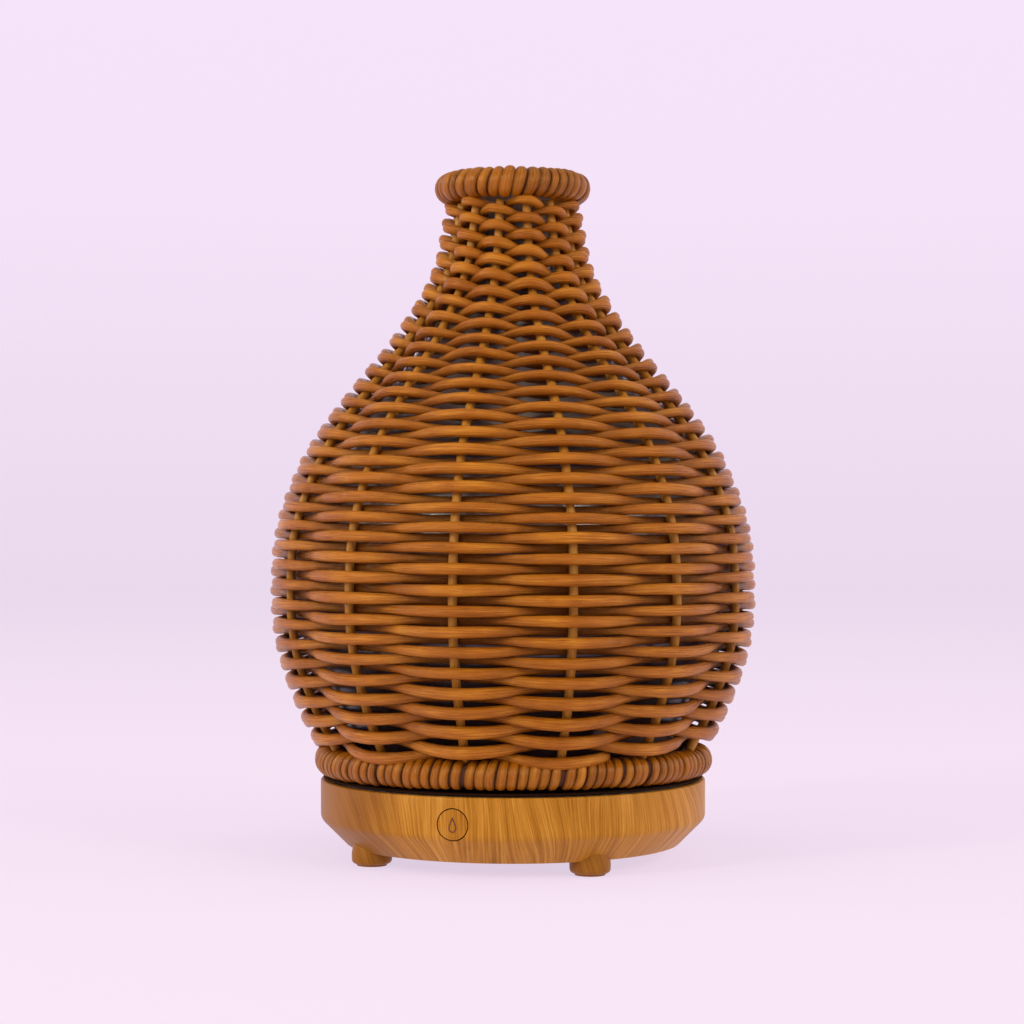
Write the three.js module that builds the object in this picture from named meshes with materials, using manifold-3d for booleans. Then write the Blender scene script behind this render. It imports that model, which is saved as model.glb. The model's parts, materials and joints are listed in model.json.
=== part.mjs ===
import * as THREE from 'three';
import Module from 'manifold-3d';

const wasm = await Module();
wasm.setup();
const { Manifold, Mesh: MMesh } = wasm;

// Essential oil diffuser: a woven wicker cover over a wood-look base with a water tank.
// Millimetres, +Z up, origin at the centre of the footprint, front towards -Y.

// ---- driving dimensions ----
const TOTAL_H = 140;            // floor to the top of the neck ring
const BASE_R = 39.4;            // base housing radius
const BASE_TOP = 16.1;          // top edge of the base housing
const BASE_BOTTOM = 2.9;        // underside of the base housing
const CHAMFER_R = 34.1;         // radius of the underside edge
const FOOT_R = 4.0;             // foot post radius
const FOOT_C = 31.9;            // foot centres from the axis
const FOOT_ANGLES = [-62, 28, 118, 208];
const STAKES = 13;              // upright stakes in the weave
const STAKE_R = 0.9;
const WEAVE_HALF = 3.1;         // half thickness of the woven wall
const CLEAR = 0.3;              // gap between touching pieces
const LINER_WALL = 1.4;
const TOP_RING_R = 12.85;       // centre line of the neck ring
const TOP_RING_T = 3.15;        // its section radius
const LOW_RING_R = 37.7;        // centre line of the lower ring
const LOW_RING_T = 3.05;
const LOW_RING_Z = 20.4;
const TANK_R = 31.6;            // tank outer radius
const TANK_IN = 29.8;
const TANK_FLOOR = 14.5;        // underside of the tank floor
const TANK_RIM = 58.4;
const DISC_R = 10;              // ultrasonic disc radius
const FAN_ANGLE = 110;          // fan position, degrees from the front towards +X
const FAN_C = 20.4;              // fan centre from the axis
const FAN_SIZE = 20;
const FAN_Z0 = 4.9;
const FAN_H = 6;
const BUTTON_ANGLE = -17.1;     // button position, degrees from the front towards +X
const BUTTON_Z = 10.85;
const BUTTON_R = 3.0;
const SCREW_R = 22.9;           // plate screws from the axis
const BOARD_Z0 = 7.0;
const BOARD_T = 1.6;

// stake line of the woven wall, from the lower ring to the neck: radius, height
const STAKE_LINE = [[38.62, 24.45], [43.0, 33.3], [46.6, 45.0], [47.2, 56.0], [46.3, 66.8], [43.0, 76.8],
  [37.0, 87.4], [27.76, 98.84], [18.6, 110.9], [13.4, 120.7], [11.2, 132.6]];

// ---- helpers ----
const group = new THREE.Group();
group.name = 'essential_oil_diffuser';

function dir(deg) {
  const a = deg * Math.PI / 180;
  return [Math.sin(a), -Math.cos(a)];
}

function weld(geom) {
  const g = geom.index ? geom.toNonIndexed() : geom;
  const p = g.getAttribute('position').array;
  const seen = new Map();
  const pts = [];
  const id = [];
  for (let i = 0; i < p.length; i += 3) {
    const k = Math.round(p[i] * 1e4) + ',' + Math.round(p[i + 1] * 1e4) + ',' + Math.round(p[i + 2] * 1e4);
    let n = seen.get(k);
    if (n === undefined) {
      n = pts.length / 3;
      seen.set(k, n);
      pts.push(p[i], p[i + 1], p[i + 2]);
    }
    id.push(n);
  }
  const tri = [];
  for (let i = 0; i < id.length; i += 3) {
    const [a, b, c] = [id[i], id[i + 1], id[i + 2]];
    if (a !== b && b !== c && a !== c) tri.push(a, b, c);
  }
  let vol = 0;
  for (let i = 0; i < tri.length; i += 3) {
    const [a, b, c] = [tri[i] * 3, tri[i + 1] * 3, tri[i + 2] * 3];
    vol += pts[a] * (pts[b + 1] * pts[c + 2] - pts[b + 2] * pts[c + 1])
      - pts[a + 1] * (pts[b] * pts[c + 2] - pts[b + 2] * pts[c])
      + pts[a + 2] * (pts[b] * pts[c + 1] - pts[b + 1] * pts[c]);
  }
  if (vol < 0) for (let i = 0; i < tri.length; i += 3) [tri[i + 1], tri[i + 2]] = [tri[i + 2], tri[i + 1]];
  const out = new THREE.BufferGeometry();
  out.setAttribute('position', new THREE.Float32BufferAttribute(pts, 3));
  out.setIndex(tri);
  return out;
}

function man(geom) {
  const g = weld(geom);
  return new Manifold(new MMesh({
    numProp: 3,
    vertProperties: new Float32Array(g.getAttribute('position').array),
    triVerts: new Uint32Array(g.index.array),
  }));
}

function geo(m) {
  const mesh = m.getMesh();
  const out = new THREE.BufferGeometry();
  out.setAttribute('position', new THREE.Float32BufferAttribute(Array.from(mesh.vertProperties), 3));
  out.setIndex(Array.from(mesh.triVerts));
  return weld(out);
}

function add(...g) { return geo(g.slice(1).reduce((a, b) => Manifold.union(a, man(b)), man(g[0]))); }
function cut(a, ...b) { return geo(b.reduce((m, c) => Manifold.difference(m, man(c)), man(a))); }
function common(a, b) { return geo(Manifold.intersection(man(a), man(b))); }

function lathe(profile, segs) {
  const pts = profile.map(([r, z]) => new THREE.Vector2(r, z));
  if (profile[0][0] > 0) pts.push(pts[0].clone());
  return weld(new THREE.LatheGeometry(pts, segs).rotateX(Math.PI / 2));
}

function cyl(r, z0, z1, x = 0, y = 0, segs = 16) {
  return weld(new THREE.CylinderGeometry(r, r, z1 - z0, segs).rotateX(Math.PI / 2).translate(x, y, (z0 + z1) / 2));
}

// cylinder lying along the outward direction at an angle
function radial(r, d0, d1, angle, z, segs = 20) {
  const a = angle * Math.PI / 180;
  return weld(new THREE.CylinderGeometry(r, r, d1 - d0, segs).translate(0, -(d0 + d1) / 2, 0).rotateZ(a).translate(0, 0, z));
}

// box centred at a distance out along an angle
function radialBox(d0, d1, width, z0, z1, angle) {
  const a = angle * Math.PI / 180;
  return weld(new THREE.BoxGeometry(width, d1 - d0, z1 - z0).translate(0, -(d0 + d1) / 2, (z0 + z1) / 2).rotateZ(a));
}

function box(x, y, z0, sx, sy, sz) {
  return weld(new THREE.BoxGeometry(sx, sy, sz).translate(x, y, z0 + sz / 2));
}

function plate(points, z0, t) {
  const s = new THREE.Shape(points.map(([x, y]) => new THREE.Vector2(x, y)));
  return weld(new THREE.ExtrudeGeometry(s, { depth: t, bevelEnabled: false }).translate(0, 0, z0));
}

function wire(points, r) {
  const path = new THREE.CatmullRomCurve3(points.map(p => new THREE.Vector3(...p)));
  const ring = [];
  for (let i = 0; i < 6; i++) ring.push(new THREE.Vector2(r * Math.cos(i * Math.PI / 3), r * Math.sin(i * Math.PI / 3)));
  return weld(new THREE.ExtrudeGeometry(new THREE.Shape(ring), { steps: 8, bevelEnabled: false, extrudePath: path }));
}

function torus(R, r, z, segs, sides) {
  return weld(new THREE.TorusGeometry(R, r, sides, segs).translate(0, 0, z));
}

function normals(line) {
  return line.map((p, i) => {
    const a = line[Math.max(0, i - 1)];
    const b = line[Math.min(line.length - 1, i + 1)];
    const l = Math.hypot(b[0] - a[0], b[1] - a[1]);
    return [(b[1] - a[1]) / l, -(b[0] - a[0]) / l];
  });
}

const NORMALS = normals(STAKE_LINE);

function offset(d) {
  return STAKE_LINE.map(([r, z], i) => [r + d * NORMALS[i][0], z + d * NORMALS[i][1]]);
}

// round rod following the stake line at one angle, its ends moved along by e
function rod(angle, radius, e) {
  const sides = 6;
  const [dx, dy] = dir(angle);
  const n = STAKE_LINE.length;
  const pos = [];
  for (let i = 0; i < n; i++) {
    let [r, z] = STAKE_LINE[i];
    const [nr, nz] = NORMALS[i];
    if (i === 0) { r += e * nz; z -= e * nr; }
    if (i === n - 1) { r -= e * nz; z += e * nr; }
    for (let k = 0; k < sides; k++) {
      const a = k * 2 * Math.PI / sides;
      const u = radius * Math.cos(a);
      const v = radius * Math.sin(a);
      pos.push((r + u * nr) * dx - v * dy, (r + u * nr) * dy + v * dx, z + u * nz);
    }
  }
  const idx = [];
  for (let i = 0; i < n - 1; i++) {
    for (let k = 0; k < sides; k++) {
      const a = i * sides + k;
      const b = i * sides + (k + 1) % sides;
      idx.push(a, b, b + sides, a, b + sides, a + sides);
    }
  }
  for (let k = 1; k < sides - 1; k++) {
    idx.push(0, k + 1, k);
    idx.push((n - 1) * sides, (n - 1) * sides + k, (n - 1) * sides + k + 1);
  }
  const g = new THREE.BufferGeometry();
  g.setAttribute('position', new THREE.Float32BufferAttribute(pos, 3));
  g.setIndex(idx);
  return weld(g);
}

function node(name, geom, color, rough, metal = 0) {
  const mesh = new THREE.Mesh(geom, new THREE.MeshStandardMaterial({ color, roughness: rough, metalness: metal }));
  mesh.name = name;
  group.add(mesh);
}

const WOOD = 0xb4732d;
const WICKER = 0x9b5a21;
const STAKE_COLOR = 0xbe823c;
const LINER = 0x483c3e;
const STEEL = 0xb9bcc0;
const BLACK = 0x1b1b1d;
const WHITE = 0xe6e6e2;

// ---- base housing: open cup with a floor ring, four foot posts, bosses, button and socket holes ----
let housing = lathe([[26.5, BASE_BOTTOM], [CHAMFER_R, BASE_BOTTOM], [38.3, 7.1], [39.1, 8.2], [BASE_R, 9.5],
  [BASE_R, 15.6], [39.0, BASE_TOP], [37.7, BASE_TOP], [37.7, 13.8], [36.4, 13.8], [36.4, 9.2], [32.2, 4.7], [26.5, 4.7]], 40);
const posts = FOOT_ANGLES.map(a => { const [x, y] = dir(a); return cyl(FOOT_R, 0.4, 4.65, x * FOOT_C, y * FOOT_C, 20); });
const BOSS_ANGLES = [30, 180, -75];
const bosses = BOSS_ANGLES.map(a => { const [x, y] = dir(a); return cyl(4.2, 4.5, 6.7, x * SCREW_R, y * SCREW_R, 16); });
const BOARD_POSTS = [[-25.1, -14.5], [-25.1, 14.5]];
const standoffs = BOARD_POSTS.map(([x, y]) => cyl(2.4, 4.4, 6.7, x, y, 12));
housing = add(housing, ...posts, ...bosses, ...standoffs);
housing = cut(housing,
  ...FOOT_ANGLES.map(a => { const [x, y] = dir(a); return cyl(3.3, 0, 1.2, x * FOOT_C, y * FOOT_C, 16); }),
  ...BOSS_ANGLES.map(a => { const [x, y] = dir(a); return cyl(1.15, 4, 6.3, x * SCREW_R, y * SCREW_R, 8); }),
  ...BOARD_POSTS.map(([x, y]) => cyl(1.05, 5.0, 7, x, y, 8)),
  radial(BUTTON_R + 0.25, 33.2, 42, BUTTON_ANGLE, BUTTON_Z, 24),
  radial(2.7, 34, 42, 180, 10.9, 20));
node('base_housing', housing, WOOD, 0.45);

FOOT_ANGLES.forEach((a, i) => {
  const [x, y] = dir(a);
  node(`foot_pad_${i + 1}`, cyl(3.0, 0, 0.9, x * FOOT_C, y * FOOT_C, 16), 0x6b4019, 0.9);
});

// ---- bottom plate with recessed screws and air slots under the fan ----
const [fx, fy] = dir(FAN_ANGLE).map(v => v * FAN_C);
const fanRot = FAN_ANGLE * Math.PI / 180;
let bottom = cyl(26.2, BASE_BOTTOM, 4.2, 0, 0, 36);
bottom = cut(bottom,
  ...[-5.6, -2.8, 0, 2.8, 5.6].map(o => weld(new THREE.BoxGeometry(1.4, 11, 4).translate(o, -17.8, 3.5).rotateZ(fanRot))));
bottom = cut(bottom, ...BOSS_ANGLES.flatMap(a => {
  const [x, y] = dir(a);
  return [cyl(2.5, 2.5, 3.6, x * SCREW_R, y * SCREW_R, 14), cyl(1.3, 2.5, 5, x * SCREW_R, y * SCREW_R, 10)];
}));
node('bottom_plate', bottom, 0x9a6229, 0.6);
BOSS_ANGLES.forEach((a, i) => {
  const [x, y] = dir(a).map(v => v * SCREW_R);
  let s = add(cyl(2.1, 2.7, 3.4, x, y, 14), cyl(1.0, 3.3, 6.0, x, y, 8));
  s = cut(s, box(x, y, 2.5, 3.0, 0.6, 0.55), box(x, y, 2.5, 0.6, 3.0, 0.55));
  node(`plate_screw_${i + 1}`, s, STEEL, 0.35, 0.9);
});

// ---- water tank: flanged basin with an air duct and the disc bosses ----
const EAR_ANGLES = [FAN_ANGLE + 60, FAN_ANGLE + 180, FAN_ANGLE + 300];
let tank = lathe([[8.5, TANK_FLOOR], [37.4, TANK_FLOOR], [37.4, BASE_TOP], [TANK_R, BASE_TOP], [TANK_R, 58], [31.2, TANK_RIM],
  [30.2, TANK_RIM], [TANK_IN, 58], [TANK_IN, 18.5], [27.6, 16.3], [8.5, 15.9]], 36);
tank = add(tank, cyl(6.3, 11.2, 50, fx, fy, 20), ...EAR_ANGLES.map(a => { const [x, y] = dir(a); return cyl(2.9, 12.6, 15.2, x * 15.5, y * 15.5, 12); }));
tank = cut(tank, cyl(5.0, 11, 51, fx, fy, 20), ...EAR_ANGLES.map(a => { const [x, y] = dir(a); return cyl(1.15, 12, 15.0, x * 15.5, y * 15.5, 8); }));
node('water_tank', tank, 0xddd8cf, 0.35);
node('tank_gasket', lathe([[36.6, 14.0], [37.4, 14.0], [37.4, 14.35], [36.6, 14.35]], 28), BLACK, 0.85);

// ---- ultrasonic disc stack ----
node('ultrasonic_disc', cyl(DISC_R, 12.7, 13.35, 0, 0, 32), 0xc9c3b4, 0.3, 0.8);
node('disc_seal', lathe([[8.6, 13.55], [11.2, 13.55], [11.2, 14.3], [8.6, 14.3]], 24), BLACK, 0.85);
let retainer = lathe([[6.5, 11.3], [11.6, 11.3], [11.6, 12.4], [6.5, 12.4]], 24);
retainer = add(retainer, ...EAR_ANGLES.flatMap(a => { const [x, y] = dir(a); return [cyl(2.9, 11.3, 12.4, x * 15.5, y * 15.5, 12), radialBox(10.8, 15.5, 5.8, 11.3, 12.4, a)]; }));
retainer = cut(retainer, ...EAR_ANGLES.map(a => { const [x, y] = dir(a); return cyl(1.25, 11, 13, x * 15.5, y * 15.5, 8); }));
node('disc_retainer', retainer, WHITE, 0.5);
EAR_ANGLES.forEach((a, i) => {
  const [x, y] = dir(a).map(v => v * 15.5);
  node(`retainer_screw_${i + 1}`, add(cyl(2.0, 10.35, 11.1, x, y, 12), cyl(0.95, 11.0, 14.7, x, y, 8)), STEEL, 0.35, 0.9);
});

// ---- circuit board and what is on it ----
let board = plate([[14, -28], [14, -8], [3, 2], [3, 16], [6, 20], [6, 32.5], [-6, 32.5], [-24, 22], [-31, 8], [-31, -8],
  [-24, -22], [-10, -31]], BOARD_Z0, BOARD_T);
board = cut(board, ...BOARD_POSTS.map(([x, y]) => cyl(1.15, 6, 10, x, y, 8)));
node('circuit_board', board, 0x1f6b3a, 0.5);
BOARD_POSTS.forEach(([x, y], i) => node(`board_screw_${i + 1}`, add(cyl(1.9, 8.8, 9.5, x, y, 12), cyl(0.85, 5.3, 9.0, x, y, 8)), STEEL, 0.35, 0.9));
const TOP = BOARD_Z0 + BOARD_T + 0.2;
let jack = add(box(0, 28, TOP, 7.2, 11, 5.2), radial(2.4, 33, 38.6, 180, 10.9, 16));
jack = cut(jack, radial(1.6, 28, 40, 180, 10.9, 14));
jack = add(jack, radial(0.6, 27.5, 36.5, 180, 10.9, 8));
node('dc_jack', jack, BLACK, 0.5);
node('inductor', cyl(4, TOP, 13, -3, -17, 16), 0x3a3430, 0.6);
node('capacitor', cyl(2.5, TOP, 14, -14, 17, 14), 0x22324f, 0.4);
node('transistor', box(-20, 11, TOP, 5.5, 6, 2.3), BLACK, 0.5);
node('control_chip', box(-13, -14.5, TOP, 5, 4, 1.4), BLACK, 0.5);
let tact = radialBox(26.4, 30.8, 6, TOP, 13, BUTTON_ANGLE);
tact = cut(tact, radial(1.2, 29.0, 32, BUTTON_ANGLE, BUTTON_Z, 12));
node('tact_switch', tact, BLACK, 0.5);
node('fan_connector', box(-10, 24, TOP, 4.6, 4.4, 3.6), WHITE, 0.5);
node('disc_connector', box(-25.5, 0, TOP, 4.4, 5, 3.4), WHITE, 0.5);
[[9, -26], [-27, 6.2], [-19.6, 19.4]].forEach(([x, y], i) => node(`led_${i + 1}`, box(x, y, TOP, 2.6, 2.6, 1.2), 0xf2e9c2, 0.3));
[-1, 1].forEach((s, i) => {
  const t = i ? 'b' : 'a';
  node(`disc_lead_${t}`, wire([[-2.5, s * 1.1, 12.1], [-5, s * 1.1, 10.6], [-12, s * 1.1, 10.0], [-19, s * 1.1, 10.3], [-22.9, s * 1.1, 10.6]], 0.45), i ? BLACK : 0xb02222, 0.5);
  const k = s * 0.7;
  node(`fan_lead_${t}`, wire([[5.4 + k * 0.4, 15.2 + k, 9.6], [1.2, 18.6 + k, 9.5], [-4.0, 20.6 + k, 9.6], [-7.3, 23.4 + k, 10.4]], 0.4), i ? BLACK : 0xb02222, 0.5);
});

// ---- fan ----
let frame = weld(new THREE.BoxGeometry(FAN_SIZE, FAN_SIZE, FAN_H).translate(0, -FAN_C, FAN_Z0 + FAN_H / 2).rotateZ(fanRot));
frame = cut(frame, cyl(9.2, FAN_Z0 - 1, FAN_Z0 + FAN_H + 1, fx, fy, 24));
const strut = (deg) => weld(new THREE.BoxGeometry(1.2, 9.4, 0.7).translate(0, 4.7 + 0.4, 0).rotateZ(deg * Math.PI / 180).translate(fx, fy, FAN_Z0 + 0.35));
frame = add(frame, cyl(3.6, FAN_Z0, FAN_Z0 + 0.7, fx, fy, 14), strut(20), strut(140), strut(260));
node('fan_frame', frame, BLACK, 0.5);
const blade = (deg) => weld(new THREE.BoxGeometry(5.6, 0.7, 3.6).rotateX(0.5).translate(5.8, 0, 0).rotateZ(deg * Math.PI / 180).translate(fx, fy, 8.2));
node('fan_rotor', add(cyl(3.6, 5.9, 10.5, fx, fy, 16), ...[0, 1, 2, 3, 4, 5, 6].map(i => blade(i * 360 / 7))), 0x2c2c2f, 0.5);

// ---- push button ----
const outer = lathe([[0, 2], [33.2, 2], [38.3, 7.1], [39.1, 8.2], [BASE_R, 9.5], [BASE_R, 17], [0, 17]], 40);
let cap = common(radial(BUTTON_R, 34.9, 42, BUTTON_ANGLE, BUTTON_Z, 24), outer);
cap = add(cap, radialBox(34.9, 36.0, 8.4, BUTTON_Z - 1.6, BUTTON_Z + 1.6, BUTTON_ANGLE), radial(1.2, 31.6, 35.2, BUTTON_ANGLE, BUTTON_Z, 12));
node('button_cap', cap, WOOD, 0.45);
node('switch_plunger', radial(0.95, 29.6, 31.35, BUTTON_ANGLE, BUTTON_Z, 10), WHITE, 0.5);

// ---- cover: liner, mist guide, woven wall, stakes and two wrapped rings ----
const lo = offset(-(WEAVE_HALF + 0.35));
const li = offset(-(WEAVE_HALF + 0.35 + LINER_WALL));
node('liner', lathe([[32.9, 16.4], [39.0, 16.4], [39.0, 17.05], [34.3, 17.05], [34.3, 22.5], ...lo.slice(0, -1), [7.75, 131.2], [7.75, 135.4], [6.4, 135.4], [6.4, 131.2],
  ...li.slice(0, -1).reverse(), [32.9, 22.2]], 36), LINER, 0.25);
node('mist_guide', lathe([[29.3, 54], [29.3, 62], [27.6, 68], [23, 77], [16, 87.5], [9.6, 98], [6.6, 106], [5.7, 113], [5.7, 126], [6.1, 127],
  [6.1, 131], [5.7, 132], [5.7, 134], [4.5, 134], [4.5, 112.5], [5.5, 105.4], [8.5, 97.3], [14.9, 86.8], [21.9, 76.4], [26.4, 67.6],
  [28.1, 61.8], [28.1, 54]], 24), WHITE, 0.4);
const wo = offset(WEAVE_HALF);
const wi = offset(-WEAVE_HALF);
let weave = lathe([...wo, ...wi.reverse()], 39);
const angles = [];
for (let i = 0; i < STAKES; i++) angles.push((i - 6) * 360 / STAKES + 180 / STAKES);
weave = cut(weave, ...angles.map(a => rod(a, STAKE_R + CLEAR, 1.5)));
node('wicker_weave', weave, WICKER, 0.6);
angles.forEach((a, i) => node(`wicker_stake_${String(i + 1).padStart(2, '0')}`, rod(a, STAKE_R, -0.3), STAKE_COLOR, 0.6));
node('top_border', torus(TOP_RING_R, TOP_RING_T, TOTAL_H - TOP_RING_T, 28, 12), WICKER, 0.6);
node('bottom_border', torus(LOW_RING_R, LOW_RING_T, LOW_RING_Z, 36, 8), WICKER, 0.6);

export default group;
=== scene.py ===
import json
import math
import random

import bpy
import bmesh
import numpy as np
from mathutils import Matrix, Vector


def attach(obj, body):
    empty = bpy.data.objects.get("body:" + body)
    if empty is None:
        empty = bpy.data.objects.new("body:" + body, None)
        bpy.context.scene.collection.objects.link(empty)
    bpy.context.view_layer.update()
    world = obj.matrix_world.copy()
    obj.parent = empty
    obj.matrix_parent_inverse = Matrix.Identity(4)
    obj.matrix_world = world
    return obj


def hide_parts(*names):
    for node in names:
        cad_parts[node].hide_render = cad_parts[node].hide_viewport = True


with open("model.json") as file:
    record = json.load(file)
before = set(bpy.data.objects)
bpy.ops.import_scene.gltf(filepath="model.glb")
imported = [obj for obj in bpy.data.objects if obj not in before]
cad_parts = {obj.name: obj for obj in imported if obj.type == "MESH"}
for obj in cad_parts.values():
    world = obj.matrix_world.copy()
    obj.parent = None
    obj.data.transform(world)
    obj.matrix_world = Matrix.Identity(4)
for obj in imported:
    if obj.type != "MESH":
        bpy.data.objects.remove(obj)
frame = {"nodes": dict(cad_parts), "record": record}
scene = bpy.context.scene
MM = 0.001


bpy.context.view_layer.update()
random.seed(7)
rng = np.random.default_rng(7)
NODES = frame["nodes"]


def lin(r, g, b, a=1.0):
    def c(v):
        v = v / 255.0
        return v / 12.92 if v <= 0.04045 else ((v + 0.055) / 1.055) ** 2.4
    return (c(r), c(g), c(b), a)


# ---------------------------------------------------------------- camera
cam = bpy.data.objects.new("camera", bpy.data.cameras.new("camera"))
scene.collection.objects.link(cam)
cam.data.lens = 87.5
cam.data.sensor_width = 36
cam.location = (-0.0002, -0.512, 0.0705)
cam.rotation_euler = (math.pi / 2, 0, 0)
cam.data.clip_end = 20
scene.camera = cam
scene.view_settings.view_transform = "Standard"
scene.view_settings.look = "None"


# ---------------------------------------------------------------- node helpers
class Mat:
    def __init__(self, name, **principled):
        self.m = bpy.data.materials.new(name)
        self.m.use_nodes = True
        self.t = self.m.node_tree
        self.p = self.t.nodes["Principled BSDF"]
        for k, v in principled.items():
            self.p.inputs[k.replace("_", " ")].default_value = v

    def n(self, kind, **kw):
        x = self.t.nodes.new(kind)
        for k, v in kw.items():
            if k.startswith("in_"):
                x.inputs[k[3:].replace("_", " ")].default_value = v
            else:
                setattr(x, k, v)
        return x

    def link(self, a, b):
        self.t.links.new(a, b)

    def out(self, x, key=0):
        return x.outputs[key]

    def math(self, op, a, b=0.0, c=0.0, clamp=False):
        x = self.t.nodes.new("ShaderNodeMath")
        x.operation = op
        x.use_clamp = clamp
        for i, v in enumerate((a, b, c)):
            if isinstance(v, (int, float)):
                x.inputs[i].default_value = v
            else:
                self.link(v, x.inputs[i])
        return x.outputs[0]

    def mix(self, fac, a, b, blend="MIX"):
        x = self.t.nodes.new("ShaderNodeMix")
        x.data_type = "RGBA"
        x.blend_type = blend
        for key, v in ((0, fac), (6, a), (7, b)):
            if isinstance(v, (int, float, tuple)):
                x.inputs[key].default_value = v
            else:
                self.link(v, x.inputs[key])
        return x.outputs[2]

    def ramp(self, fac, stops):
        x = self.t.nodes.new("ShaderNodeValToRGB")
        e = x.color_ramp.elements
        while len(e) < len(stops):
            e.new(0.5)
        for i, (p, c) in enumerate(stops):
            e[i].position = p
            e[i].color = c
        self.link(fac, x.inputs[0])
        return x.outputs[0]

    def vec(self, x, y, z=0.0):
        v = self.t.nodes.new("ShaderNodeCombineXYZ")
        for i, s in enumerate((x, y, z)):
            if isinstance(s, (int, float)):
                v.inputs[i].default_value = s
            else:
                self.link(s, v.inputs[i])
        return v.outputs[0]

    def noise(self, vector, scale=1.0, detail=2.0, rough=0.5, dist=0.0):
        x = self.t.nodes.new("ShaderNodeTexNoise")
        self.link(vector, x.inputs["Vector"])
        x.inputs["Scale"].default_value = scale
        x.inputs["Detail"].default_value = detail
        x.inputs["Roughness"].default_value = rough
        x.inputs["Distortion"].default_value = dist
        return x.outputs[0]

    def uv(self):
        x = self.t.nodes.new("ShaderNodeUVMap")
        x.uv_map = "UVMap"
        s = self.t.nodes.new("ShaderNodeSeparateXYZ")
        self.link(x.outputs[0], s.inputs[0])
        return s.outputs[0], s.outputs[1]

    def attr(self, name):
        x = self.t.nodes.new("ShaderNodeAttribute")
        x.attribute_name = name
        return x.outputs["Fac"]

    def bump(self, height, strength, distance):
        x = self.t.nodes.new("ShaderNodeBump")
        x.inputs["Strength"].default_value = strength
        x.inputs["Distance"].default_value = distance
        self.link(height, x.inputs["Height"])
        self.link(x.outputs[0], self.p.inputs["Normal"])


def wicker(name, dark, mid, light, rough=0.42, shade=0.55):
    """Semi-gloss rattan: long fibres, slow blotches along the length, and painted shade that darkens the strand where
    it dips behind.
    """
    k = Mat(name, Roughness=rough, Specular_IOR_Level=0.52, Specular_Tint=(1.0, 0.76, 0.44, 1.0))
    u, v = k.uv()
    fibre = k.noise(k.vec(k.math("MULTIPLY", u, 0.12), k.math("MULTIPLY", v, 24.0)), 1.0, 3.0, 0.6)
    fine = k.noise(k.vec(k.math("MULTIPLY", u, 0.35), k.math("MULTIPLY", v, 66.0), 4.0), 1.0, 2.0, 0.6)
    blotch = k.noise(k.vec(k.math("MULTIPLY", u, 0.11), k.math("MULTIPLY", v, 0.8), 9.0), 1.0, 2.0, 0.55)
    fac = k.math("ADD", k.math("MULTIPLY", fibre, 0.6), k.math("MULTIPLY", blotch, 0.4))
    fac = k.math("ADD", k.math("MULTIPLY", k.math("SUBTRACT", fac, 0.5), 2.1), 0.5, clamp=True)
    base = k.ramp(fac, [(0.0, dark), (0.5, mid), (1.0, light)])
    base = k.mix(k.math("MULTIPLY", k.math("GREATER_THAN", fine, 0.66), 0.35), base, dark)
    # painted shade: mix towards dark brown by the per-vertex shade attribute, scaled by shade
    painted_shade_and_tone = k.attr("painted_shade_and_tone")
    base = k.mix(k.math("MULTIPLY", painted_shade_and_tone, shade), base, lin(66, 30, 1))
    k.link(base, k.p.inputs["Base Color"])
    k.link(k.math("ADD", k.math("MULTIPLY", fibre, 0.22), rough - 0.1), k.p.inputs["Roughness"])
    k.bump(k.math("ADD", fibre, k.math("MULTIPLY", fine, 0.8)), 1.0, 0.00016)
    return k.m


WEAVER = wicker("rattan_weaver", lin(116, 56, 1), lin(164, 91, 4), lin(212, 142, 36), 0.28)
STAKE = wicker("rattan_stake", lin(158, 94, 18), lin(196, 130, 42), lin(222, 164, 78), 0.36, 0.25)
WRAP = wicker("rattan_wrap", lin(116, 57, 1), lin(174, 98, 5), lin(218, 148, 42), 0.28, 0.85)
# painted shade: the ring cores are dark brown so that the gaps between the wraps look shaded
CORE = Mat("rattan_core", Base_Color=lin(70, 30, 4), Roughness=0.8).m


def make_liner():
    k = Mat("liner_gloss", Roughness=0.2, Specular_IOR_Level=0.5)
    co = k.t.nodes.new("ShaderNodeTexCoord")
    s = k.t.nodes.new("ShaderNodeSeparateXYZ")
    k.link(co.outputs["Object"], s.inputs[0])
    h = k.math("DIVIDE", s.outputs[2], 0.14, clamp=True)
    n = k.noise(co.outputs["Object"], 60, 2)
    # painted shade and light: by height, dark brown at the flange and low down, lighter grey higher up
    col = k.ramp(h, [(0.0, lin(30, 12, 4)), (0.125, lin(32, 14, 5)), (0.2, lin(92, 74, 70)), (0.5, lin(136, 118, 120)), (1.0, lin(150, 134, 134))])
    k.link(col, k.p.inputs["Base Color"])
    low = k.math("SUBTRACT", 1.0, k.math("DIVIDE", k.math("SUBTRACT", s.outputs[2], 0.0175), 0.003, clamp=True))
    k.link(k.math("ADD", k.math("MULTIPLY", low, 0.55), k.math("ADD", k.math("MULTIPLY", n, 0.12), 0.13)), k.p.inputs["Roughness"])
    return k.m


LINER = make_liner()


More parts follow.
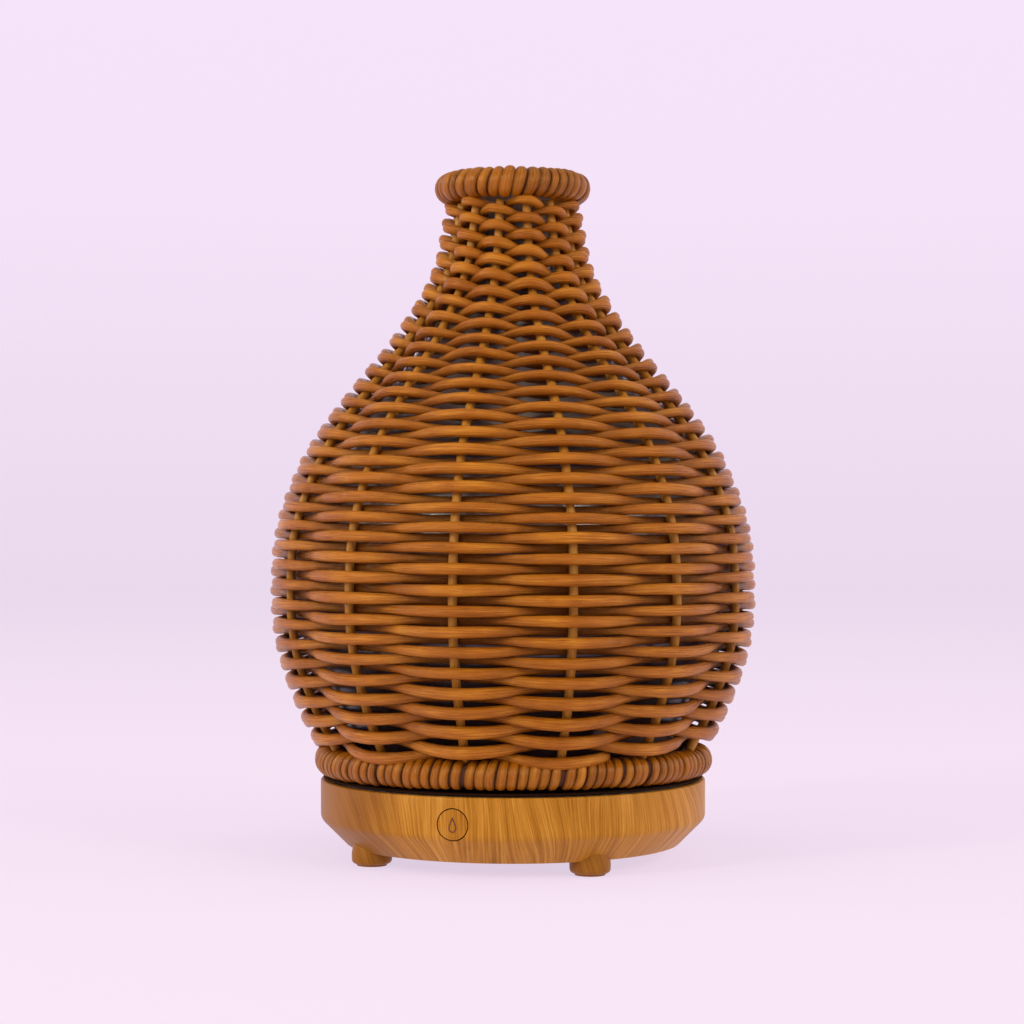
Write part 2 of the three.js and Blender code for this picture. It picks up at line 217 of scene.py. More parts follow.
def make_wood():
    """Printed wood grain: fine near-upright lines, slow waves, a few arched figures, and a satin face."""
    k = Mat("wood_print", Roughness=0.4, Specular_IOR_Level=0.25, Specular_Tint=(1.0, 0.8, 0.5, 1.0))
    u, v = k.uv()
    du = k.math("SUBTRACT", u, 123.8)
    dv = k.math("SUBTRACT", v, 19.0)
    warp = k.noise(k.vec(k.math("MULTIPLY", u, 0.05), k.math("MULTIPLY", v, 0.03)), 1.0, 1.0, 0.5)
    bend = k.noise(k.vec(k.math("MULTIPLY", u, 0.022), 0.0, 6.0), 1.0, 1.0, 0.5)
    right = k.math("MULTIPLY", k.math("SUBTRACT", k.math("MULTIPLY", du, 0.045), 0.75), 1.0, clamp=True)
    left = k.math("MULTIPLY", k.math("SUBTRACT", k.math("MULTIPLY", du, -0.05), 0.75), 1.0, clamp=True)
    w = k.math("ADD", u, k.math("MULTIPLY", warp, 7.0))
    w = k.math("ADD", w, k.math("MULTIPLY", dv, k.math("MULTIPLY", k.math("SUBTRACT", bend, 0.5), 1.2)))
    w = k.math("ADD", w, k.math("MULTIPLY", k.math("MULTIPLY", k.math("ADD", dv, 9.0), k.math("ADD", dv, 9.0)), k.math("MULTIPLY", right, 0.05)))
    w = k.math("ADD", w, k.math("MULTIPLY", dv, k.math("MULTIPLY", left, 0.55)))
    rings = k.noise(k.vec(k.math("MULTIPLY", w, 0.42), k.math("MULTIPLY", v, 0.01), 2.0), 1.0, 3.0, 0.65)
    fine = k.noise(k.vec(k.math("MULTIPLY", w, 2.4), k.math("MULTIPLY", v, 0.05), 5.0), 1.0, 3.0, 0.65)
    slow = k.noise(k.vec(k.math("MULTIPLY", u, 0.05), k.math("MULTIPLY", v, 0.04), 11.0), 1.0, 2.0, 0.5)
    pore = k.noise(k.vec(k.math("MULTIPLY", w, 5.5), k.math("MULTIPLY", v, 0.35), 8.0), 1.0, 2.0, 0.7)
    f = k.math("ADD", k.math("MULTIPLY", rings, 0.34), k.math("ADD", k.math("MULTIPLY", fine, 0.48), k.math("MULTIPLY", slow, 0.18)))
    f = k.math("ADD", k.math("MULTIPLY", k.math("SUBTRACT", f, 0.5), 3.4), 0.52, clamp=True)
    base = k.ramp(f, [(0.0, lin(118, 68, 8)), (0.3, lin(156, 99, 18)), (0.62, lin(184, 124, 40)), (1.0, lin(206, 151, 66))])
    base = k.mix(k.math("MULTIPLY", k.math("GREATER_THAN", pore, 0.64), 0.4), base, lin(122, 66, 8))
    base = k.mix(k.math("MULTIPLY", k.math("MULTIPLY", k.math("SUBTRACT", k.math("MULTIPLY", du, -0.09), 2.0), 1.0, clamp=True), 0.62), base, lin(112, 60, 4))
    k.link(base, k.p.inputs["Base Color"])
    k.link(k.math("ADD", k.math("MULTIPLY", fine, 0.2), 0.32), k.p.inputs["Roughness"])
    k.bump(k.math("ADD", fine, k.math("MULTIPLY", pore, 0.6)), 0.25, 0.00006)
    return k.m


WOOD = make_wood()


def simple(name, color, rough, metal=0.0, bump=0.0, scale=900.0, **kw):
    k = Mat(name, Roughness=rough, Metallic=metal, **kw)
    co = k.t.nodes.new("ShaderNodeTexCoord")
    n = k.noise(co.outputs["Object"], scale, 3.0, 0.6)
    big = k.noise(co.outputs["Object"], 70.0, 2.0, 0.5)
    c = k.mix(k.math("MULTIPLY", big, 0.3), color, tuple(min(1.0, x * 0.78) for x in color[:3]) + (1.0,))
    k.link(c, k.p.inputs["Base Color"])
    k.link(k.math("ADD", k.math("MULTIPLY", big, 0.14), rough - 0.07), k.p.inputs["Roughness"])
    if bump:
        k.bump(n, bump, 0.00008)
    return k.m


FINISH = {
    "wood_plastic": WOOD,
    "plate_plastic": simple("plate_plastic", lin(150, 96, 42), 0.55, bump=0.4),
    "rubber_brown": simple("rubber_brown", lin(150, 96, 40), 0.8, bump=0.5),
    "rubber_black": simple("rubber_black", lin(40, 38, 37), 0.8, bump=0.5),
    "screw_steel": simple("screw_steel", lin(196, 197, 200), 0.3, 1.0, bump=0.1),
    "tank_plastic": simple("tank_plastic", lin(212, 208, 198), 0.32, bump=0.05, Subsurface_Weight=0.15),
    "disc_metal": simple("disc_metal", lin(206, 200, 184), 0.3, 1.0, bump=0.2),
    "board_laminate": simple("board_laminate", lin(28, 108, 58), 0.4, bump=0.15),
    "black_plastic": simple("black_plastic", lin(34, 34, 36), 0.5, bump=0.35),
    "capacitor_can": simple("capacitor_can", lin(36, 58, 96), 0.35),
    "white_plastic": simple("white_plastic", lin(232, 231, 226), 0.45, bump=0.15),
    "led_lens": simple("led_lens", lin(246, 236, 196), 0.15),
    "lead_red": simple("lead_red", lin(176, 30, 30), 0.45),
    "lead_black": simple("lead_black", lin(28, 28, 30), 0.45),
    "liner_plastic": LINER,
    "wicker_strand": WEAVER,
    "wicker_stake": STAKE,
}


# ---------------------------------------------------------------- mesh helpers
def mesh_object(name, verts, faces, mat, uvs=None, painted_shade_and_tone=None, smooth=True, sharp=None):
    me = bpy.data.meshes.new(name)
    me.from_pydata([tuple(v) for v in verts], [], faces)
    if uvs is not None:
        layer = me.uv_layers.new(name="UVMap")
        data = np.asarray(uvs, dtype=np.float32).reshape(-1)
        layer.data.foreach_set("uv", data)
    if painted_shade_and_tone is not None:
        a = me.attributes.new("painted_shade_and_tone", "FLOAT", "POINT")
        a.data.foreach_set("value", np.asarray(painted_shade_and_tone, dtype=np.float32))
    me.polygons.foreach_set("use_smooth", [smooth] * len(me.polygons))
    me.update()
    if sharp is not None:
        me.set_sharp_from_angle(angle=math.radians(sharp))
    me.materials.append(mat)
    o = bpy.data.objects.new(name, me)
    scene.collection.objects.link(o)
    return o


def sweep(rings, closed=False, length=None, start=0, u0=0.0, caps=True):
    """rings: (n, k, 3) in mm. Gives vertices, faces and per-loop uvs (mm along, 0-1 round)."""
    n, k, _ = rings.shape
    verts = rings.reshape(-1, 3)
    faces = []
    uvs = []
    m = n if closed else n - 1
    for i in range(m):
        a = i * k + start
        b = ((i + 1) % n) * k + start
        ua = u0 + length[i]
        ub = u0 + (length[i + 1] if i + 1 < len(length) else length[i] + (length[i] - length[i - 1]))
        for j in range(k):
            j2 = (j + 1) % k
            faces.append((a + j, a + j2, b + j2, b + j))
            uvs.extend(((ua, j / k), (ua, (j + 1) / k), (ub, (j + 1) / k), (ub, j / k)))
    if not closed and caps:
        faces.append(tuple(start + j for j in reversed(range(k))))
        uvs.extend((0.0, 0.5) for _ in range(k))
        faces.append(tuple(start + (n - 1) * k + j for j in range(k)))
        uvs.extend((0.0, 0.5) for _ in range(k))
    return verts, faces, uvs


def outward(o):
    """Faces point outwards."""
    bm = bmesh.new()
    bm.from_mesh(o.data)
    if bm.calc_volume(signed=True) < 0:
        bmesh.ops.reverse_faces(bm, faces=bm.faces)
    bm.to_mesh(o.data)
    bm.free()
    return o


def lathe(name, profile, mat, segs=160, uscale=None, sharp=35):
    """Closed profile (r, z) in mm turned round the axis. Poles are single points."""
    verts = []
    idx = []
    for r, z in profile:
        if r < 1e-6:
            idx.append([len(verts)] * segs)
            verts.append((0, 0, z * MM))
        else:
            idx.append(list(range(len(verts), len(verts) + segs)))
            for j in range(segs):
                a = 2 * math.pi * j / segs + math.pi / 2
                verts.append((r * MM * math.cos(a), r * MM * math.sin(a), z * MM))
    arc = [0.0]
    n = len(profile)
    for i in range(1, n + 1):
        p, q = profile[i - 1], profile[i % n]
        arc.append(arc[-1] + math.hypot(q[0] - p[0], q[1] - p[1]))
    faces = []
    uvs = []
    R = uscale or max(r for r, _ in profile)
    last = n if profile[0][0] > 1e-6 else n - 1
    for i in range(last):
        a, b = idx[i], idx[(i + 1) % n]
        for j in range(segs):
            j2 = (j + 1) % segs
            u1, u2 = 2 * math.pi * R * j / segs, 2 * math.pi * R * (j + 1) / segs
            pts = [(a[j], u1, arc[i]), (a[j2], u2, arc[i]), (b[j2], u2, arc[i + 1]), (b[j], u1, arc[i + 1])]
            f = []
            c = []
            for p, x, y in pts:
                if p not in f:
                    f.append(p)
                    c.append((x, y))
            if len(f) > 2:
                faces.append(tuple(f))
                uvs.extend(c)
    o = mesh_object(name, verts, faces, mat, uvs)
    outward(o)
    o.data.polygons.foreach_set("use_smooth", [True] * len(o.data.polygons))
    o.data.set_sharp_from_angle(angle=math.radians(sharp))
    return o


def round_profile(points):
    """points: (r, z, fillet). Corners with a fillet are rounded with five points."""
    out = []
    n = len(points)
    for i, (r, z, f) in enumerate(points):
        p = Vector((r, z))
        if f <= 0:
            out.append((r, z))
            continue
        a = (Vector(points[i - 1][:2]) - p)
        b = (Vector(points[(i + 1) % n][:2]) - p)
        a.normalize()
        b.normalize()
        half = math.acos(max(-1, min(1, a.dot(b)))) / 2
        t = f / math.tan(half)
        c = p + (a + b).normalized() * (f / math.sin(half))
        p0, p1 = p + a * t, p + b * t
        v0, v1 = p0 - c, p1 - c
        ang = v0.angle_signed(v1)
        for s in range(6):
            w = -ang * s / 5
            out.append((c.x + v0.x * math.cos(w) - v0.y * math.sin(w), c.y + v0.x * math.sin(w) + v0.y * math.cos(w)))
    return out


# ---------------------------------------------------------------- the woven wall
LINE = np.array([[11.31, 131.82], [11.82, 128.74], [12.38, 125.48], [13.12, 121.98], [14.28, 118.45], [15.97, 115.01],
                 [18.07, 111.62], [20.36, 108.26], [22.72, 105.01], [25.2, 101.88], [27.76, 98.84], [30.32, 95.83],
                 [32.79, 92.81], [35.21, 89.76], [37.56, 86.58], [39.72, 83.28], [41.58, 79.84], [43.22, 76.26],
                 [44.64, 72.6], [45.76, 68.97], [46.56, 65.33], [47.0, 61.58], [47.2, 57.7], [47.25, 53.78],
                 [47.15, 49.92], [46.75, 46.17], [46.05, 42.49], [44.99, 38.81], [43.69, 35.11], [42.19, 31.48],
                 [40.48, 27.94], [38.62, 24.45]])[::-1]
TURNS0, TURNS1 = 0.0, 62.75
rows = np.arange(32) * 2.0


def line_at(row):
    """Stake line position, outward normal and row pitch at a row number (0 at the lower ring)."""
    row = np.asarray(row, dtype=float)
    def ev(x):
        x = np.asarray(x, dtype=float)
        q = np.clip(x / 2.0, 0, 31)
        i = np.clip(np.floor(q).astype(int), 0, 30)
        f = q - i
        def cr(c):
            p = np.concatenate([[2 * c[0] - c[1]], c, [2 * c[-1] - c[-2]]])
            p0, p1, p2, p3 = p[i], p[i + 1], p[i + 2], p[i + 3]
            return 0.5 * (2 * p1 + (p2 - p0) * f + (2 * p0 - 5 * p1 + 4 * p2 - p3) * f ** 2 + (3 * p1 - p0 - 3 * p2 + p3) * f ** 3)
        r, z = cr(LINE[:, 0]), cr(LINE[:, 1])
        over = x / 2.0 - 31
        k = np.where(over > 0, over, 0)
        r = r + k * (LINE[-1, 0] - LINE[-2, 0])
        z = z + k * (LINE[-1, 1] - LINE[-2, 1])
        k = np.where(x < 0, x / 2.0, 0)
        return r + k * (LINE[1, 0] - LINE[0, 0]), z + k * (LINE[1, 1] - LINE[0, 1])
    r, z = ev(row)
    ra, za = ev(row - 0.6)
    rb, zb = ev(row + 0.6)
    dr, dz = rb - ra, zb - za
    L = np.hypot(dr, dz)
    return r, z, dz / L, -dr / L, L / 1.2


NST = 13
ST0 = math.radians(13.846)          # a stake angle from the front, towards +X
PHASE = 0                           # which rows pass over that stake
END_ANGLE = math.radians(28.0)      # where the strand's first end lies


def smooth_noise(t, seeds, amp):
    r = random.Random(seeds)
    out = np.zeros_like(t)
    for _ in range(7):
        f = r.uniform(0.15, 3.7)
        out += math.sqrt(1 / 7.0) * np.sin(2 * math.pi * f * t + r.uniform(0, 6.28))
    return out * amp


def polar(r, th):
    return r * np.sin(th), -r * np.cos(th)


def weave():
    per = 15
    n = int((TURNS1 - TURNS0) * NST * per)
    t = np.linspace(TURNS0, TURNS1, n)
    th = END_ANGLE - 2 * math.pi * t
    s = t + smooth_noise(t, 3, 0.05) + 0.12 * np.maximum(0, t - 58.5) - 0.5 * np.exp(-t / 2.4)
    r, z, nr, nz, pitch = line_at(s)
    ph = NST / 2.0 * (th - ST0) + math.pi * PHASE
    c = np.cos(ph)
    # flatter tops over the stakes, so that the strand bends round them
    neck = np.clip((s - 42.0) / 12.0, 0, 1)
    cc = np.sign(c) * np.abs(c) ** (0.86 + 0.2 * neck)
    up = np.clip((s - 30.0) / 12.0, 0, 1)
    lead = np.cos(ph + 0.75)
    amp = 2.03 + smooth_noise(t, 5, 0.05)
    off = amp * cc
    thick = 1.04 + smooth_noise(t, 8, 0.03)
    half = pitch * (0.484 + 0.105 * np.abs(c)) * (1 + smooth_noise(t, 11, 0.04)) * (1 - 0.3 * up + 0.36 * np.clip((s - 46.0) / 7.0, 0, 1) + 0.12 * np.clip((9.0 - s) / 6.0, 0, 1))
    arch = np.where(nz > 0, 0.62, 1.0)
    cr, cz = r + nr * (off + 0.1), z + nz * (off + 0.1) * arch + (0.3 * up + 0.12 * neck) * lead + 0.08 * neck * cc
    # jitter in height of each pass over a stake
    tilt = smooth_noise(t * 3.1, 15, 0.08)
    cz = cz + tilt * np.abs(c)
    K = 12
    a = np.arange(K) * 2 * math.pi / K + math.pi
    ca, sa = np.cos(a), np.sin(a)
    # superellipse section, a little flat on the outside
    ca = np.sign(ca) * np.abs(ca) ** 0.9
    sa = np.sign(sa) * np.abs(sa) ** 0.9
    x0, y0 = polar(cr, th)
    cen = np.stack([x0, y0, cz], 1)
    tan = np.gradient(cen, axis=0)
    tan /= np.linalg.norm(tan, axis=1)[:, None]
    out = np.stack([nr * np.sin(th), -nr * np.cos(th), nz], 1)
    side = np.cross(tan, out)
    side /= np.linalg.norm(side, axis=1)[:, None]
    out = np.cross(side, tan)
    rings = cen[:, None, :] + out[:, None, :] * (ca[None, :] * thick[:, None])[..., None] + side[:, None, :] * (sa[None, :] * half[:, None])[..., None]
    seg = np.linalg.norm(np.diff(cen, axis=0), axis=1)
    length = np.concatenate([[0], np.cumsum(seg)])
    v, f, uv = sweep(rings, length=list(length))
    # painted shade: darker where the strand passes behind a stake and on the inner side of its section
    painted_shade_and_tone = np.clip(0.45 - 0.55 * cc, 0, 1)[:, None] * np.ones((1, K))
    painted_shade_and_tone = painted_shade_and_tone + 0.35 * (1 - np.maximum(0, ca))[None, :] ** 2 * 0.6
    return outward(mesh_object("weaver_strand", v * MM, f, WEAVER, uv, np.clip(painted_shade_and_tone, 0, 1).reshape(-1)))


def stakes():
    out = []
    K = 12
    for q in range(NST):
        th = ST0 + (q - 6) * 2 * math.pi / NST
        s = np.linspace(-1.0, 63.0, 152)
        r, z, nr, nz, pitch = line_at(s)
        rad = 0.9 + 0.03 * np.sin(s * 1.7 + q)
        w = 0.06 * np.sin(s * 0.33 + q * 1.3)
        x, y = polar(r, th)
        tv = np.array([math.cos(th), math.sin(th), 0.0])
        cen = np.stack([x, y, z], 1) + tv[None, :] * w[:, None]
        nrm = np.stack([nr * math.sin(th), -nr * math.cos(th), nz], 1)
        a = np.arange(K) * 2 * math.pi / K + math.pi
        rings = cen[:, None, :] + (nrm[:, None, :] * np.cos(a)[None, :, None] + tv[None, None, :] * np.sin(a)[None, :, None]) * rad[:, None, None]
        length = np.concatenate([[0], np.cumsum(np.linalg.norm(np.diff(cen, axis=0), axis=1))])
        v, f, uv = sweep(rings, length=list(length), u0=q * 137.0)
        painted_shade_and_tone = np.full(len(v), 0.25)
        o = outward(mesh_object("stake_%02d" % (q + 1), v * MM, f, STAKE, uv, painted_shade_and_tone))
        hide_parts("wicker_stake_%02d" % (q + 1))
        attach(o, "cover")
        out.append(o)
    return out


def wraps(name, R, zc, rr, angles, widths, thick, slant, mat, K=10, M=28, sag=0.0):
    """Loops of flattened strand round a ring: each a closed band at its own angle."""
    verts, faces, uvs, painted_shade_and_tone = [], [], [], []
    base = 0
    for q, (th, w) in enumerate(zip(angles, widths)):
        psi = np.arange(M) * 2 * math.pi / M + math.pi
        jit = rng.normal(0, 0.16)
        rad = rr - thick + rng.normal(0, 0.07)
        tl = slant * np.sin(psi) + jit * np.cos(psi)
        tht = th + tl / R
        r = R + rad * np.cos(psi)
        half = w * r / (R + rr) * (1 + 0.04 * np.sin(psi * 2 + q))
        x, y = polar(r, tht)
        cen = np.stack([x, y, zc - sag * np.sin(tht) ** 2 + rad * np.sin(psi)], 1)
        tv = np.stack([np.cos(tht), np.sin(tht), np.zeros(M)], 1)
        tan = np.roll(cen, -1, 0) - np.roll(cen, 1, 0)
        tan /= np.linalg.norm(tan, axis=1)[:, None]
        nrm = np.cross(tan, tv)
        nrm /= np.linalg.norm(nrm, axis=1)[:, None]
        tv = np.cross(nrm, tan)
        a = np.arange(K) * 2 * math.pi / K
        ca, sa = np.cos(a), np.sin(a)
        want = np.stack([np.sin(tht) * np.cos(psi), -np.cos(tht) * np.cos(psi), np.sin(psi)], 1)
        sgn = np.sign((nrm * want).sum(1))[:, None]
        nrm = nrm * sgn
        rings = cen[:, None, :] + nrm[:, None, :] * (-ca * thick)[None, :, None] + tv[:, None, :] * (sa[None, :] * half[:, None])[..., None]
        length = list(np.arange(M + 1) * 2 * math.pi * rr / M)
        v, f, uv = sweep(rings, closed=True, length=length, start=base, u0=q * 31.7)
        verts.append(v)
        faces += f
        uvs += uv
        # painted shade: each wrap darker towards its side edges, for dark lines between the wraps; times a random tone
        # per wrap
        shade = np.clip(0.32 + 0.55 * (np.abs(sa) ** 4), 0, 1)
        painted_shade_and_tone.append(np.tile(shade, M) * np.clip(1 + rng.normal(0, 0.25), 0.4, 1.6))
        base += M * K
    return outward(mesh_object(name, np.concatenate(verts) * MM, faces, mat, uvs, np.clip(np.concatenate(painted_shade_and_tone), 0, 1)))


def ring_core(name, R, r, z, mat, segs=96, sides=16):
    prof = [(R + r * math.cos(2 * math.pi * i / sides), z + r * math.sin(2 * math.pi * i / sides)) for i in range(sides)]
    return lathe(name, prof, mat, segs)


strand = weave()
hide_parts("wicker_weave")
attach(strand, "cover")
stakes()

NTOP = 41
cuts = np.cumsum([max(0.55, 1.0 + rng.normal(0, 0.26)) for _ in range(NTOP)])
cuts = np.concatenate([[0.0], cuts]) / cuts[-1] * 2 * math.pi
a_top = [(cuts[i] + cuts[i + 1]) / 2 for i in range(NTOP)]
w_top = [(cuts[i + 1] - cuts[i]) / 2 * 16.0 for i in range(NTOP)]
top = wraps("neck_ring_wraps", 12.85, 136.85, 3.13, a_top, w_top, 0.74, 0.55, WRAP, 12, 32)
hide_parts("top_border")
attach(top, "cover")
core = ring_core("neck_ring_core", 12.85, 2.35, 136.85, CORE)
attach(core, "cover")

a_low, w_low = [], []
PER = 9
for g in range(NST):
    g0 = ST0 + (g - 6) * 2 * math.pi / NST
    span = 2 * math.pi / NST
    for i in range(PER):
        a_low.append(g0 + span * (0.022 + 0.956 * (i + 0.5) / PER) + rng.normal(0, 0.0018))
        w_low.append(span * 0.956 / PER * 40.7 / 2 * (1.0 + rng.normal(0, 0.03)))
low = wraps("lower_ring_wraps", 37.7, 20.4, 3.05, a_low, w_low, 0.62, 0.42, WRAP, 10, 26, 0.45)
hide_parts("bottom_border")
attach(low, "cover")
core2 = ring_core("lower_ring_core", 37.7, 2.35, 20.4, CORE, 160)
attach(core2, "cover")

# ---------------------------------------------------------------- liner
rr_, zz_, nr_, nz_, _ = line_at(np.linspace(0, 61.0, 56))
lo = [(float(r - 3.5 * a), float(z - 3.5 * b)) for r, z, a, b in zip(rr_, zz_, nr_, nz_)]
li = [(float(r - 4.85 * a), float(z - 4.85 * b)) for r, z, a, b in zip(rr_, zz_, nr_, nz_)]
prof = [(32.9, 17.2), (34.3, 17.2), (34.3, 22.5)] + lo + \
    [(7.75, 131.4), (7.75, 135.1), (7.5, 135.4), (6.65, 135.4), (6.4, 135.1), (6.4, 131.4)] + li[::-1] + [(32.9, 22.2)]
liner = lathe("liner_shell", prof, LINER, 128)
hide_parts("liner")
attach(liner, "cover")
# painted shade: the flange ring is a matte dark brown band for the shadow line between the lower ring and the base
RIM = simple("liner_rim", lin(34, 15, 4), 0.88, bump=0.3, Specular_IOR_Level=0.1)
rim = lathe("liner_rim", [(32.9, 16.4), (38.7, 16.4), (38.85, 16.5), (38.85, 16.7), (38.7, 16.8), (34.3, 16.8), (34.3, 17.19), (32.9, 17.19)], RIM, 160)
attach(rim, "cover")

# ---------------------------------------------------------------- base housing
hp = round_profile([(26.5, 2.9, 0), (34.1, 2.9, 0.5), (39.4, 8.2, 2.2), (39.4, 16.1, 0.45), (37.7, 16.1, 0.2), (37.7, 13.8, 0),
                    (36.4, 13.8, 0), (36.4, 9.2, 0), (32.2, 4.7, 0), (26.5, 4.7, 0)])
housing = lathe("housing_shell", hp, WOOD, 192, 39.4, 30)


def helper_cyl(r, z0, z1, x, y, segs=48, fillet=0.0):
    pr = round_profile([(0, z0, 0), (r, z0, fillet), (r, z1, 0), (0, z1, 0)])
    o = lathe("tool", pr, WOOD, segs)
    o.data.transform(Matrix.Rotation(0.0371, 4, "Z"))
    o.location = (x * MM, y * MM, 0)
    return o


def foot_post(x, y):
    pr = round_profile([(0, 0.35, 0), (4.0, 0.35, 0.9), (4.05, 2.3, 0), (3.7, 4.66, 0), (0, 4.66, 0)])
    o = lathe("tool", pr, WOOD, 56)
    o.data.transform(Matrix.Rotation(0.0213, 4, "Z"))
    o.location = (x * MM, y * MM, 0)
    return o


def helper_radial(r, d0, d1, angle, z, segs=64):
    o = lathe("tool", [(0, d0), (r, d0), (r, d1), (0, d1)], WOOD, segs)
    o.data.transform(Matrix.Rotation(0.0371, 4, "Z"))
    o.rotation_euler = (math.pi / 2, 0, math.radians(angle))
    o.location = (0, 0, z * MM)
    return o


def boolean(target, tool, op):
    m = target.modifiers.new("b", "BOOLEAN")
    m.operation = op
    m.solver = "EXACT"
    m.object = tool
    bpy.context.view_layer.update()
    dg = bpy.context.evaluated_depsgraph_get()
    me = bpy.data.meshes.new_from_object(target.evaluated_get(dg))
    target.modifiers.clear()
    target.data = me
    bpy.data.objects.remove(tool, do_unlink=True)


FEET = [-62, 28, 118, 208]
for a in FEET:
    x, y = math.sin(math.radians(a)) * 31.9, -math.cos(math.radians(a)) * 31.9
    boolean(housing, foot_post(x, y), "UNION")
    boolean(housing, helper_cyl(3.08, -1.0, 1.2, x, y, 40), "DIFFERENCE")
boolean(housing, helper_radial(3.2, 33.2, 44, -17.1, 10.85), "DIFFERENCE")
boolean(housing, helper_radial(2.7, 34, 44, 180, 10.9), "DIFFERENCE")
for poly in housing.data.polygons:
    poly.use_smooth = True
housing.data.set_sharp_from_angle(angle=math.radians(32))
while len(housing.data.materials) > 1:
    housing.data.materials.pop()
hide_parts("base_housing")
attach(housing, "base")

# ---------------------------------------------------------------- push button
cap = lathe("button_face", [(0, 35.2), (2.98, 35.2), (2.98, 45), (0, 45)], WOOD, 64)
cap.rotation_euler = (math.pi / 2, 0, math.radians(-17.1))
cap.location = (0, 0, 10.85 * MM)
tool = lathe("tool", round_profile([(0, 1.0, 0), (32.2, 1.0, 0), (39.38, 8.2, 2.2), (39.38, 18, 0), (0, 18, 0)]), WOOD, 192, 39.4)
boolean(cap, tool, "INTERSECT")
for poly in cap.data.polygons:
    poly.use_smooth = True
cap.data.set_sharp_from_angle(angle=math.radians(40))


def droplet(name, mat):
    """Generic water-drop outline lying on the button face."""
    th0 = math.radians(-17.1)
    verts, faces = [], []

    def band(points, half, closed):
        n = len(points)
        base = len(verts)
        for i in range(n):
            p = points[i]
            q0 = points[(i - 1) % n] if closed or i else points[0]
            q1 = points[(i + 1) % n] if closed or i < n - 1 else points[-1]
            t = (Vector(q1) - Vector(q0)).normalized()
            nn = Vector((-t.y, t.x))
            for rad in (39.36, 39.43):
                for s in (-half, half):
                    x, z = p[0] + nn.x * s, p[1] + nn.y * s
                    a = th0 + x / 39.4
                    zz = 10.85 + z
                    inset = 0.0
                    if zz < 9.1:
                        inset = 2.2 - math.sqrt(max(0.0, 2.2 ** 2 - (9.1 - zz) ** 2))
                    R = rad - inset
                    verts.append((R * math.sin(a) * MM, -R * math.cos(a) * MM, zz * MM))
        m = n if closed else n - 1
        for i in range(m):
            a, b = base + 4 * i, base + 4 * ((i + 1) % n)
            faces.extend([(a, b, b + 1, a + 1), (a + 2, a + 3, b + 3, b + 2), (a, a + 2, b + 2, b), (a + 1, b + 1, b + 3, a + 3)])
        if not closed:
            a, b = base, base + 4 * (n - 1)
            faces.extend([(a, a + 1, a + 3, a + 2), (b, b + 2, b + 3, b + 1)])

    pts = []
    for i in range(40):
        u = 2 * math.pi * i / 40
        k = math.sin(u / 2) ** 1.5
        pts.append((0.95 * math.sin(u) * k, 1.35 * math.cos(u) - 0.05))
    band(pts, 0.11, True)
    o = mesh_object(name, verts, faces, mat)
    outward(o)
    o.data.set_sharp_from_angle(angle=math.radians(40))
    return o


INK = Mat("button_print", Base_Color=lin(86, 44, 14), Roughness=0.5).m
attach(cap, "button")
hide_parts("button_cap")
icon = droplet("button_icon", INK)
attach(icon, "button")

# ---------------------------------------------------------------- kept CAD pieces: finish and smooth shading by angle
tree = bpy.data.node_groups.new("smooth_by_angle", "GeometryNodeTree")
tree.interface.new_socket("Geometry", in_out="INPUT", socket_type="NodeSocketGeometry")
tree.interface.new_socket("Geometry", in_out="OUTPUT", socket_type="NodeSocketGeometry")
gi, go = tree.nodes.new("NodeGroupInput"), tree.nodes.new("NodeGroupOutput")
weldn = tree.nodes.new("GeometryNodeMergeByDistance")
weldn.inputs["Distance"].default_value = 1e-7
sf = tree.nodes.new("GeometryNodeSetShadeSmooth")
sf.domain = "FACE"
se = tree.nodes.new("GeometryNodeSetShadeSmooth")
se.domain = "EDGE"
ang = tree.nodes.new("GeometryNodeInputMeshEdgeAngle")
cmp_ = tree.nodes.new("FunctionNodeCompare")
cmp_.data_type = "FLOAT"
cmp_.operation = "LESS_THAN"
cmp_.inputs[1].default_value = math.radians(32)
tree.links.new(gi.outputs[0], weldn.inputs[0])
tree.links.new(weldn.outputs[0], sf.inputs[0])
tree.links.new(sf.outputs[0], se.inputs[0])
tree.links.new(ang.outputs[0], cmp_.inputs[0])
tree.links.new(cmp_.outputs[0], se.inputs["Shade Smooth"])
tree.links.new(se.outputs[0], go.inputs[0])

SLOT = {s["node"]: s["material_slot"] for s in frame["record"]["subparts"]}
for name, o in NODES.items():
    mat = FINISH.get(SLOT.get(name, ""))
    if mat is not None:
        if o.material_slots:
            for ms in o.material_slots:
                ms.link = "OBJECT"
                ms.material = mat
        else:
            o.data.materials.append(mat)
    m = o.modifiers.new("smooth", "NODES")
    m.node_group = tree

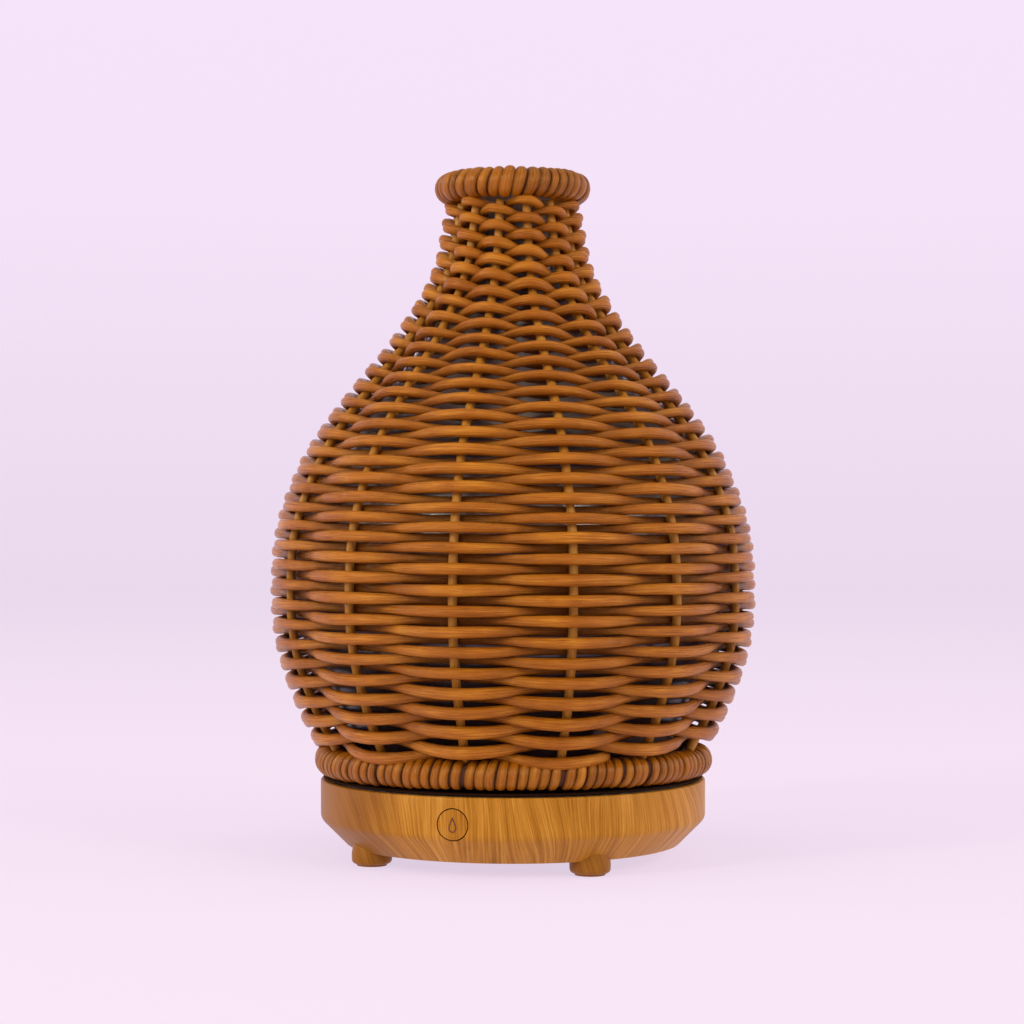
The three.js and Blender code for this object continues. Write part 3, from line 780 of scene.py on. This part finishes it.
# ---------------------------------------------------------------- floor and light
BACK = lin(245, 228, 249)
fm = Mat("floor_paper", Roughness=0.95, Specular_IOR_Level=0.0)
co = fm.t.nodes.new("ShaderNodeTexCoord")
sp = fm.t.nodes.new("ShaderNodeSeparateXYZ")
fm.link(co.outputs["Object"], sp.inputs[0])
far = fm.math("ADD", fm.math("MULTIPLY", sp.outputs[1], 2.0), 1.5, clamp=True)
up = fm.math("MULTIPLY", sp.outputs[2], 2.0, clamp=True)
fm.p.inputs["Base Color"].default_value = tuple(x * 0.25 for x in BACK[:3]) + (1.0,)
fm.p.inputs["Emission Color"].default_value = lin(245, 230, 252)
fm.link(fm.math("ADD", fm.math("MULTIPLY", up, 0.09), fm.math("ADD", fm.math("MULTIPLY", far, 0.44), 0.3)), fm.p.inputs["Emission Strength"])
prof = [(0.0, 0.0)] + [(r, 0.0) for r in (0.12, 0.3, 0.6, 1.2, 1.9)] + [(1.9 + 0.9 * math.sin(a), 0.9 - 0.9 * math.cos(a)) for a in [i * math.pi / 2 / 12 for i in range(1, 13)]] + [(2.8, 1.3)]
v, f = [(0.0, 0.0, 0.0)], []
SEG = 96
for r, z in prof[1:]:
    for j in range(SEG):
        v.append((r * math.cos(2 * math.pi * j / SEG), r * math.sin(2 * math.pi * j / SEG), z))
for j in range(SEG):
    f.append((0, 1 + j, 1 + (j + 1) % SEG))
for i in range(len(prof) - 2):
    a0, b0 = 1 + i * SEG, 1 + (i + 1) * SEG
    for j in range(SEG):
        f.append((a0 + j, b0 + j, b0 + (j + 1) % SEG, a0 + (j + 1) % SEG))
floor = mesh_object("floor", v, f, fm.m)

world = bpy.data.worlds.new("world")
scene.world = world
world.use_nodes = True
bg = world.node_tree.nodes["Background"]
bg.inputs[0].default_value = lin(255, 238, 208)
bg.inputs[1].default_value = 0.45


def area(name, loc, target, size, size_y, power, color=(1, 1, 1)):
    l = bpy.data.lights.new(name, "AREA")
    l.shape = "RECTANGLE"
    l.size = size
    l.size_y = size_y
    l.energy = power
    l.color = color
    o = bpy.data.objects.new(name, l)
    scene.collection.objects.link(o)
    o.location = loc
    d = Vector(target) - Vector(loc)
    o.rotation_euler = d.to_track_quat("-Z", "Y").to_euler()
    return o


WARM = (1.0, 0.94, 0.80)
area("soft_left", (-0.85, -0.28, 0.35), (0, 0, 0.07), 0.2, 0.8, 2.1, WARM)
area("soft_right", (0.85, -0.28, 0.35), (0, 0, 0.07), 0.2, 0.8, 2.1, WARM)
area("soft_front_left", (-0.90, -0.82, 0.62), (0, 0, 0.07), 0.2, 0.5, 7.0, WARM)
area("soft_front_right", (0.85, -0.95, 0.75), (0, 0, 0.07), 0.35, 0.5, 4.9, WARM)
area("glint_left", (-0.99, 0.26, 0.70), (0, 0, 0.08), 0.1, 0.1, 0.9)
area("glint_right", (0.99, 0.26, 0.70), (0, 0, 0.08), 0.1, 0.1, 0.9)
area("soft_top", (0.0, -0.1, 1.4), (0, 0, 0.05), 1.0, 1.0, 4.0, WARM)
